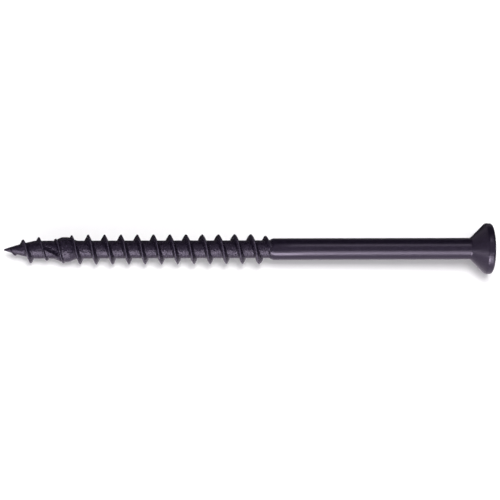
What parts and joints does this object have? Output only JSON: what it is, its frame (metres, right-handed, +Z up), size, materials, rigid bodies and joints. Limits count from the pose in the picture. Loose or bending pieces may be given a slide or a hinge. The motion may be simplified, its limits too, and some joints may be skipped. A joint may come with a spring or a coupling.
{
  "type": "self-drilling wood screw",
  "caption": "Countersunk wood screw with a coarse part thread, a cutting point with gashes and a swelling behind it, and a six-lobe recess.",
  "frame": {"origin": "on the surface that the screw lies on, under the middle of its length", "axes": "+X from the point towards the head, +Z up; the screw lies on its thread and the rim of its head"},
  "size_m": [0.0801, 0.0084, 0.0084],
  "materials": {
    "coated_steel": "dark violet-grey coating with a satin sheen"
  },
  "bodies": {
    "root": {"wood_screw": "coated_steel"}
  },
  "joints": []
}
